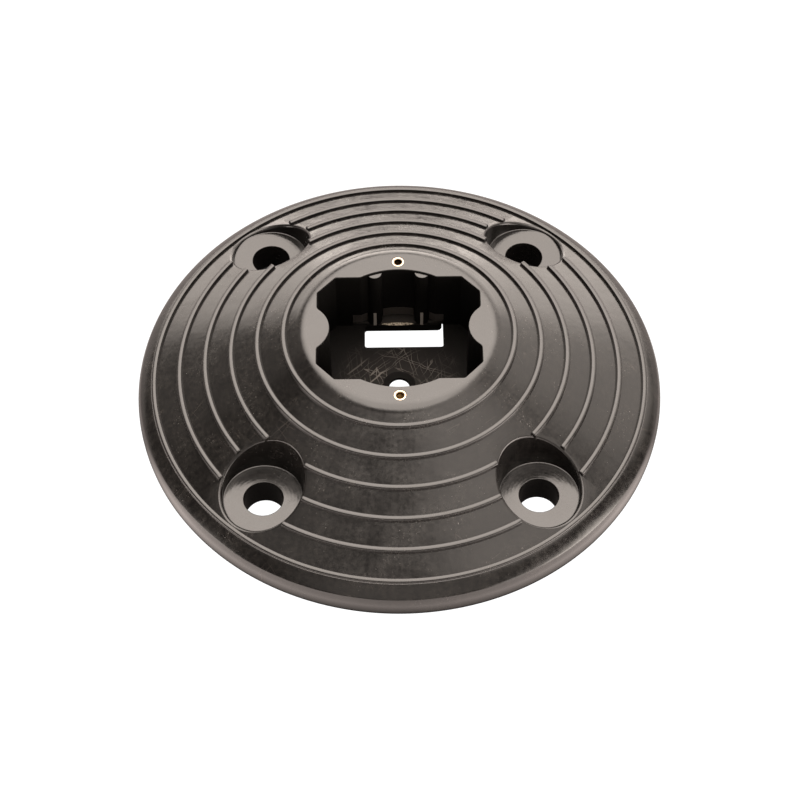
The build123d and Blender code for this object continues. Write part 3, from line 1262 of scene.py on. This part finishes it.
        tone = node("MapRange", {"From Min": 0.3, "From Max": 0.75, "Value": streak})
        layers = (
            (tone, self.pale), (bloom, self.bloom), (scratch, self.scratch), (dust_and_highlight, self.dust_and_highlight))
        swings = ((mottle, 0.22), (cloud, 0.26), (streak, 0.10))
        relief = 0.0
        for mark, weight in ((mottle, 1.4), (cloud, 20.0), (streak, 0.35), (rings, 0.3)):
            relief = node("Math MULTIPLY_ADD", {0: mark, 1: weight, 2: relief})
        body = {"IOR": self.ior, "Specular IOR Level": self.specular}
        return self.coat(node, layers, swings, relief, body, ((dust_and_highlight, 0.35),))


@dataclass(frozen=True)
class ErodedPlastic(Finish):
    """The same polypropylene off a spark-eroded core: dull, nearly black, with swirled scuffs and
    painted sheen.
    """

    name: str = "spark_eroded_polypropylene"
    colour: str = "#0b0a09"
    scuff_and_sheen: str = "#504c48"
    # Colour of the painted light on the floor strip in the recess.
    lit_strip: str = "#2b2927"
    # Colour of the painted highlight along the foot of the rear wall.
    dust_and_highlight: str = "#b5aa98"
    roughness: float = 0.66
    specular: float = 0.07
    ior: float = 1.5
    grain_mm: float = 0.55
    relief_mm: float = 0.03
    swirl_mm: float = 2.6
    patch_mm: float = 11.0
    painted_sheen: float = 0.06
    scuffed_mm: Pair = (27.0, 9.0)
    lit_strip_y: float = 25.3
    highlight_lens_at: Pair = (-0.35, 24.8)
    highlight_lens_mm: tuple[float, float, float] = (6.4, 0.75, 0.5)
    sink_radius: float = 6.3
    hole_y: float = -5.1
    floor: float = 11.3

    def surface(self, node: Draw, place: Socket) -> Socket:
        """Draw the pitted core's print, the floor's scuffs, and painted sheen, light and highlight.

        Args:
            node: Adds a node to the material.
            place: Object coordinates.

        Returns:
            The shader.
        """
        # Spark erosion leaves the core pitted, so the socket's walls give back hardly any light;
        # the floor is scuffed in arcs round the anchor hole under a painted sheen, and a painted
        # highlight lies along the foot of the rear wall.
        grain = node("TexNoise", {
            "Scale": 1 / (self.grain_mm * MM), "Detail": 3.0, "Vector": place})
        centred = node("VectorMath SUBTRACT", {0: place, 1: (0, self.hole_y * MM, 0)})
        centred = node("VectorMath MULTIPLY", {0: centred, 1: (1, 1, 0)})
        away = node("VectorMath LENGTH", {0: centred}, "Value")
        patch = node("TexNoise", {
            "Scale": 1 / (self.patch_mm * MM), "Detail": 2.0, "Vector": centred})
        bent = node("VectorMath MULTIPLY_ADD", {
            0: patch.node.outputs["Color"], 1: (0.004, 0.004, 0), 2: centred})
        kept = node("MapRange", {"From Min": 0.36, "From Max": 0.58, "Value": patch})
        lines = strokes(node, bent, self.swirl_mm, 15, 0.012, (1.1, -0.8, 0.2), 12)
        swirl = node("Math MULTIPLY", {0: lines, 1: kept})
        near = node("MapRange", {"From Min": self.scuffed_mm[0] * MM,
                                 "From Max": self.scuffed_mm[1] * MM, "Value": away})
        height = node("SeparateXYZ", {0: place}, "Z")
        on_floor = node("Math LESS_THAN", {0: height, 1: (self.floor + 0.3) * MM})
        scuffed = node("Math MULTIPLY", {0: near, 1: on_floor})
        clear = node("Math GREATER_THAN", {0: away, 1: self.sink_radius * MM})
        scuffed = node("Math MULTIPLY", {0: scuffed, 1: clear})
        scuffs_and_sheen = node("Math MULTIPLY", {0: swirl, 1: scuffed})
        # Painted sheen: the floor round the anchor hole is lightened evenly, besides its real
        # scuffs.
        painted_sheen = node("Math MULTIPLY", {0: scuffed, 1: self.painted_sheen})
        scuffs_and_sheen = node("Math MAXIMUM", {0: scuffs_and_sheen, 1: painted_sheen})
        # Painted light: the strip of floor in the recess is painted as pale as the wall above it,
        # as if lit like it.
        rear = node("SeparateXYZ", {0: place}, "Y")
        lit_strip = node("Math GREATER_THAN", {0: rear, 1: self.lit_strip_y * MM})
        lit_strip = node("Math MULTIPLY", {0: lit_strip, 1: on_floor})
        # Painted highlight: a lens of pale dots along the floor's edge at the foot of the rear
        # wall.
        lens = node("VectorMath SUBTRACT", {0: place, 1: Vector((*self.highlight_lens_at, self.floor)) * MM})
        lens = node("VectorMath DIVIDE", {0: lens, 1: Vector(self.highlight_lens_mm) * MM})
        lens = node("VectorMath LENGTH", {0: lens}, "Value")
        lens = node("MapRange", {"From Min": 1.05, "From Max": 0.85, "Value": lens})
        dots = node("MapRange", {"From Min": 0.36, "From Max": 0.56, "Value": grain})
        dust_and_highlight = node("Math MULTIPLY", {0: lens, 1: dots})
        layers = ((scuffs_and_sheen, self.scuff_and_sheen), (lit_strip, self.lit_strip), (dust_and_highlight, self.dust_and_highlight))
        body = {"IOR": self.ior, "Specular IOR Level": self.specular}
        return self.coat(node, layers, ((grain, 0.2),), grain, body)


@dataclass(frozen=True)
class MachinedBrass(Finish):
    """Turned and tapped brass: bright and warm on its face, with painted shade down its bore."""

    y: float
    top: float
    # Colour of the painted shade deep in the bore.
    bore: str
    name: str = "machined_brass"
    colour: str = "#cfbfa8"
    stain: str = "#b89d78"
    roughness: float = 0.30
    ring_mm: float = 0.30
    relief_mm: float = 0.004
    stain_mm: float = 0.6
    bore_shade_depth: Pair = (0.25, 0.9)

    def surface(self, node: Draw, place: Socket) -> Socket:
        """Draw the turned rings, the stains and the painted shade down the bore.

        Args:
            node: Adds a node to the material.
            place: Object coordinates.

        Returns:
            The shader.
        """
        # A facing cut leaves fine rings that spread the glint round the face; they are drawn
        # coarser than the real 0.1 mm. Painted shade darkens the brass down the bore.
        stain = node("TexNoise", {
            "Scale": 1 / (self.stain_mm * MM), "Detail": 2.0, "Vector": place})
        across = node("VectorMath SUBTRACT", {0: place, 1: (0, self.y * MM, 0)})
        across = node("VectorMath MULTIPLY", {0: across, 1: (1, 1, 0)})
        across = node("VectorMath LENGTH", {0: across}, "Value")
        rings = node("Math MULTIPLY", {0: across, 1: 2 * math.pi / (self.ring_mm * MM)})
        rings = node("Math SINE", {0: rings})
        height = node("SeparateXYZ", {0: place}, "Z")
        start, full = ((self.top - depth) * MM for depth in self.bore_shade_depth)
        bore_shade = node("MapRange", {"From Min": start, "From Max": full, "Value": height})
        layers = ((stain, self.stain), (bore_shade, self.bore))
        return self.coat(node, layers, ((stain, 0.16),), rings, {"Metallic": 1.0})


@dataclass
class BaseMoulding:
    """The whole black moulding, built from its cover, pockets, ribs, socket and underside."""

    cover: Cover = field(default_factory=Cover)
    pockets: BoltPockets = field(default_factory=BoltPockets)
    socket: PostSocket = field(default_factory=PostSocket)
    insert_y: float = 32.0
    insert_radius: float = 2.3
    insert_hole_depth: float = 7.5
    insert_hole_rounding: float = 0.12
    smooth_angle: float = 34.0
    level: float = 0.99999

    def build(self) -> Solid:
        """Model the moulding as one closed solid.

        Returns:
            The finished piece.
        """
        body = self.cover.build()
        self.pockets.cut_pockets(body)
        combine(body, GripRibs(self.pockets).build(), Joint.ADD)
        self.pockets.cut_bores(body)
        combine(body, Underside(self.socket, self.pockets).build(), Joint.CUT)
        self.socket.cut(body)
        top = self.cover.hub_height
        hole = flared_bore("insert_hole", self.insert_radius, top, self.insert_hole_rounding,
                           top - self.insert_hole_depth, 48)
        combine(body, set_out(hole, (0, -self.insert_y), (0, self.insert_y)), Joint.CUT)
        body.name = "ribbed_base"
        select_only(body)
        bpy.ops.object.shade_smooth_by_angle(angle=math.radians(self.smooth_angle))
        # Level faces are shaded flat, so that the roundings beside them don't bend their
        # reflections.
        for face in body.data.polygons:
            face.use_smooth = abs(face.normal.z) < self.level
        return body

    def dress(self, body: Solid) -> None:
        """Give the moulding its finishes and its place in the part.

        Args:
            body: The finished piece.
        """
        finishes = (
            MouldedPlastic(pockets=self.pockets),
            ErodedPlastic(),
            # The recess wall's copy is paler: painted light where light reaches that wall.
            ErodedPlastic("recess_painted_light_polypropylene", "#484441", roughness=0.42, specular=0.35),
            # The lands' copy is pale: a painted highlight down the crush ribs' fronts.
            ErodedPlastic("land_painted_highlight_polypropylene", "#96908a", specular=0.3),
        )
        body.data.materials.clear()
        for finish in finishes:
            body.data.materials.append(finish.material())
        for face in body.data.polygons:
            point = face.center / MM
            # The lands take the painted highlight, and the recess wall the painted light.
            if self.socket.on_rib_land(point, face.normal):
                face.material_index = 3
            elif self.socket.holds(point, face.normal):
                face.material_index = 2 if self.socket.recessed(point, face.normal) else 1
        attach(body, "root")
        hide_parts("base_moulding")


@dataclass
class ThreadInsert:
    """One brass insert, flush with the hub, with a tapped bore."""

    name: str
    node: str
    y: float
    # Colour of the painted shade deep in the bore.
    bore: str
    top: float = 40.7
    radius: float = 2.3
    length: float = 6.0
    minor: float = 1.25
    major: float = 1.5
    lead: float = 0.5
    chamfer: float = 0.3
    edge_break: float = 0.08
    root: float = 0.04
    smooth_angle: float = 30.0

    def build(self) -> Solid:
        """Turn the sleeve and wind its thread.

        Returns:
            The finished piece.
        """
        low, edge = self.top - self.length, self.edge_break
        pen = Pen(self.name, (self.major, low))
        pen.line((self.radius, low), (self.radius, self.top - edge), (self.radius - edge, self.top))
        pen.line((self.major + self.chamfer, self.top), (self.major, self.top - self.chamfer * 0.7))
        sleeve = pen.line((self.major, low)).turned(48)
        combine(sleeve, self.thread(), Joint.ADD)
        piece = set_out(sleeve, (0, self.y))
        piece.name = self.name
        return piece

    def thread(self) -> Solid:
        """Wind one thread ridge up the bore with a Screw modifier, and close its ends.

        Returns:
            The ridge, rooted a little in the sleeve.
        """
        foot, root = self.top - self.length + self.lead, self.major + self.root
        pen = Pen("thread", (root, foot)).line((self.minor, foot + self.lead * 0.45))
        item = pen.line((root, foot + self.lead * 0.9), (root, foot)).closed().put_down().item
        screw = item.modifiers.new("lead", "SCREW")
        screw.axis = "Z"
        screw.screw_offset = self.lead * MM
        screw.iterations = round((self.length - self.lead * 4) / self.lead)
        screw.steps = screw.render_steps = 24
        select_only(item)
        bpy.ops.object.modifier_apply(modifier="lead")
        edit()
        bpy.ops.mesh.fill_holes(sides=0)
        edit(False)
        return tidy_mesh(item)

    def dress(self, insert: Solid) -> None:
        """Give the insert its finish and its place in the part.

        Args:
            insert: The finished piece.
        """
        select_only(insert)
        bpy.ops.object.shade_smooth_by_angle(angle=math.radians(self.smooth_angle))
        insert.data.materials.clear()
        insert.data.materials.append(MachinedBrass(self.y, self.top, self.bore).material())
        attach(insert, "root")
        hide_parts(self.node)


@dataclass(frozen=True)
class LitTable(Finish):
    """White acrylic table, lit from below where the base leaves it open."""

    name: str = "white_acrylic_table"
    seen: str = "#ffffff"
    warm: str = "#ffefe7"
    glow: float = 1.15
    shade: float = 0.01
    bounce: Pair = (2.8, 4.7)
    bore_bounce: float = 0.02
    slot_bounce: float = 0.25
    open_mm: Pair = (100.8, 108.5)
    side_mm: float = 120.0
    fade_mm: Pair = (-25.0, -60.0)
    fade_floor: float = 0.2
    shade_mm: Pair = (55.5, 62.5)
    under_mm: float = 95.0

    def surface(self, node: Draw, place: Socket) -> Socket:
        """Draw the table's light.

        Args:
            node: Adds a node to the material.
            place: Object coordinates.

        Returns:
            The shader.
        """
        # A white acrylic sheet over lamps shines evenly, with no grain. Other rays find it lit
        # outside the rim and below the holes.
        reach = node("VectorMath LENGTH", {0: place}, "Value")
        lit = node("MapRange", {
            "From Min": self.open_mm[0] * MM, "From Max": self.open_mm[1] * MM, "Value": reach})
        pockets, socket = BoltPockets(), PostSocket()
        bolts = node("VectorMath ABSOLUTE", {0: place})
        bolts = node("VectorMath DISTANCE", {0: bolts, 1: pockets.corner()}, "Value")
        bolts = node("Math LESS_THAN", {0: bolts, 1: pockets.bore_radius * MM})
        bolts = node("Math MULTIPLY", {0: bolts, 1: self.bore_bounce})
        lit = node("Math MAXIMUM", {0: lit, 1: bolts})
        (left, right), (front, rear) = socket.slot_x, socket.slot_y
        middle = Vector((left + right, front + rear, 0)) / 2 * MM
        half = Vector(((right - left) / 2 * MM, (rear - front) / 2 * MM, 1))
        slot = node("VectorMath SUBTRACT", {0: place, 1: middle})
        slot = node("VectorMath DIVIDE", {0: slot, 1: half})
        slot = node("VectorMath ABSOLUTE", {0: slot})
        slot = node("Math MAXIMUM", {
            0: node("SeparateXYZ", {0: slot}, "X"), 1: node("SeparateXYZ", {0: slot}, "Y")})
        slot = node("Math LESS_THAN", {0: slot, 1: 1.0})
        slot = node("Math MULTIPLY", {0: slot, 1: self.slot_bounce})
        lit = node("Math MAXIMUM", {0: lit, 1: slot})
        # It is brightest at the front corners, dim beside and behind the base, and dark under
        # the rear bores.
        x, y = (node("SeparateXYZ", {0: place}, axis) for axis in "XY")
        bounce = node("MapRange", {
            "From Max": self.side_mm * MM, "To Min": self.bounce[0], "To Max": self.bounce[1],
            "Value": node("Math ABSOLUTE", {0: x})})
        fade = node("MapRange", {
            "From Min": self.fade_mm[0] * MM, "From Max": self.fade_mm[1] * MM,
            "To Min": self.fade_floor, "Value": y})
        bounce = node("Math MULTIPLY", {0: bounce, 1: fade})
        bounce = node("Math MULTIPLY", {0: bounce, 1: lit})
        under = node("Math LESS_THAN", {0: reach, 1: self.under_mm * MM})
        rear = node("MapRange", {
            "From Min": self.shade_mm[0] * MM, "From Max": self.shade_mm[1] * MM, "Value": y})
        rear = node("Math MULTIPLY", {0: rear, 1: under})
        shown = node("Mix", {"data_type": "FLOAT", 0: rear, 2: self.glow, 3: self.shade})
        seen = node("LightPath", out="Is Camera Ray")
        glow = node("Mix", {"data_type": "FLOAT", 0: seen, 2: bounce, 3: shown})
        colour = node("Mix", {
            "data_type": "RGBA", 0: seen, 6: hex_linear(self.warm), 7: hex_linear(self.seen)}, 2)
        return node("Emission", {"Color": colour, "Strength": glow})


@dataclass(frozen=True)
class Glow:
    """One soft patch of light on the studio's walls: full to its core, faded out at its reach."""

    azimuth: float
    lift: float
    core: float
    reach: float
    radiance: float

    def direction(self) -> Vector:
        """The way to the patch, from an azimuth of 0 at the viewer and 90 on the right."""
        a, e = math.radians(self.azimuth), math.radians(self.lift)
        return Vector((math.sin(a) * math.cos(e), -math.cos(a) * math.cos(e), math.sin(e)))


@dataclass
class Studio:
    """Pale floor, softly lit room and the camera of the product photograph."""

    focal_px: float = 2051.0
    image_px: float = 800.0
    sensor: float = 36.0
    centre_px: Pair = (399.3, 383.0)
    distance: float = 0.80
    elevation: float = 53.10
    turn: float = -0.46
    roll: float = -0.33
    target_height: float = 5.5
    floor_size: float = 6.0
    room_glow: float = 0.15
    horizon_glow: float = 1.2
    horizon: Pair = (0.11, 0.02)
    tint: str = "#fff3e9"
    softbox_at: Glow = Glow(178, 62, 0, 0, 1.2)
    softbox_distance: float = 1.2
    softbox_size: Pair = (0.60, 0.45)
    glows: tuple[Glow, ...] = (
        Glow(178, 56, 14, 32, 8.0),
        Glow(178, 80, 18, 26, 8.0),
        Glow(155, 13, 9, 27, 5.0),
        Glow(180, 3, 10, 28, 7.6),
        Glow(206, 12, 9, 20, 4.3),
        Glow(130, 32, 13, 31, 2.6),
        Glow(74, 64, 9, 28, 2.9),
        Glow(230, 30, 8, 24, 0.50),
        Glow(286, 64, 7, 26, 0.72),
        Glow(352, 79, 6, 20, 0.65),
        Glow(0, 38, 10, 42, 1.0),
        Glow(287, 4, 7, 16, 6.5),
        Glow(52, 6, 9, 26, 5.0),
        Glow(68, 6, 10, 23, 12.5),
    )

    def camera(self) -> None:
        """Place the camera at the photograph's viewing angle and framing."""
        data = bpy.data.cameras.new("camera")
        data.sensor_width = self.sensor
        data.lens = self.sensor * self.focal_px / self.image_px
        half = self.image_px / 2
        data.shift_x = (half - self.centre_px[0]) / self.image_px
        data.shift_y = -(half - self.centre_px[1]) / self.image_px
        item = bpy.data.objects.new("camera", data)
        bpy.context.scene.collection.objects.link(item)
        back = Glow(self.turn, self.elevation, 0, 0, 0).direction()
        spot = Vector((0, 0, self.target_height * MM)) + back * self.distance
        look = (-back).to_track_quat("-Z", "Y").to_matrix().to_4x4()
        roll = Matrix.Rotation(math.radians(self.roll), 4, "Z")
        item.matrix_world = Matrix.Translation(spot) @ look @ roll
        bpy.context.scene.camera = item

    def softbox(self) -> None:
        """Hang one softbox behind the base, facing it."""
        data = bpy.data.lights.new("rear_softbox", "AREA")
        data.shape = "RECTANGLE"
        data.size, data.size_y = self.softbox_size
        data.color = hex_linear(self.tint)[:3]
        data.energy = self.softbox_at.radiance * math.pi * data.size * data.size_y
        item = bpy.data.objects.new("rear_softbox", data)
        bpy.context.scene.collection.objects.link(item)
        out = self.softbox_at.direction()
        facing = out.to_track_quat("Z", "Y").to_matrix().to_4x4()
        item.matrix_world = Matrix.Translation(out * self.softbox_distance) @ facing

    def room(self) -> None:
        """Light the room: soft patches that run into each other on a dim dome."""
        world = bpy.data.worlds.new("studio_room")
        world.use_nodes = True
        world.node_tree.nodes.clear()
        node = partial(add_node, world.node_tree)
        way = node("TexCoord", out="Generated")
        light = node("MapRange", {
            "From Min": self.horizon[0], "From Max": self.horizon[1], "To Min": self.room_glow,
            "To Max": self.horizon_glow, "Value": node("SeparateXYZ", {0: way}, "Z")})
        for glow in self.glows:
            facing = node("VectorMath DOT_PRODUCT", {0: way, 1: glow.direction()}, "Value")
            patch = node("MapRange", {
                "interpolation_type": "SMOOTHSTEP",
                "From Min": math.cos(math.radians(glow.reach)),
                "From Max": math.cos(math.radians(glow.core)),
                "To Max": glow.radiance, "Value": facing})
            light = node("Math MAXIMUM", {0: light, 1: patch})
        shade = node("Background", {"Color": hex_linear(self.tint), "Strength": light})
        node("OutputWorld", {"Surface": shade})
        bpy.context.scene.world = world

    def floor(self) -> None:
        """Lay the pale floor."""
        bpy.ops.object.select_all(action="DESELECT")
        bpy.ops.mesh.primitive_plane_add(size=self.floor_size)
        item = bpy.context.object
        item.name = "studio_floor"
        item.data.materials.append(LitTable().material())

    def build(self) -> None:
        """Set up the view, camera, floor and lights."""
        bpy.context.scene.view_settings.view_transform = "Standard"
        self.camera()
        self.floor()
        self.room()
        self.softbox()


def main() -> None:
    """Build the pieces in order, dress them, set up the studio and report."""
    logging.basicConfig(level=logging.INFO, format="%(name)s %(message)s")
    makers = (
        BaseMoulding(),
        # Each insert's last colour is the painted shade deep in its bore, darker at the rear.
        ThreadInsert("front_insert", "front_thread_insert", -32.0, "#6f5836"),
        ThreadInsert("rear_insert", "rear_thread_insert", 32.0, "#1d150c"),
    )
    for maker in makers:
        piece = maker.build()
        maker.dress(piece)
        LOG.info("%s: %d faces", piece.name, len(piece.data.polygons))
    Studio().build()


if __name__ == "__main__":
    main()
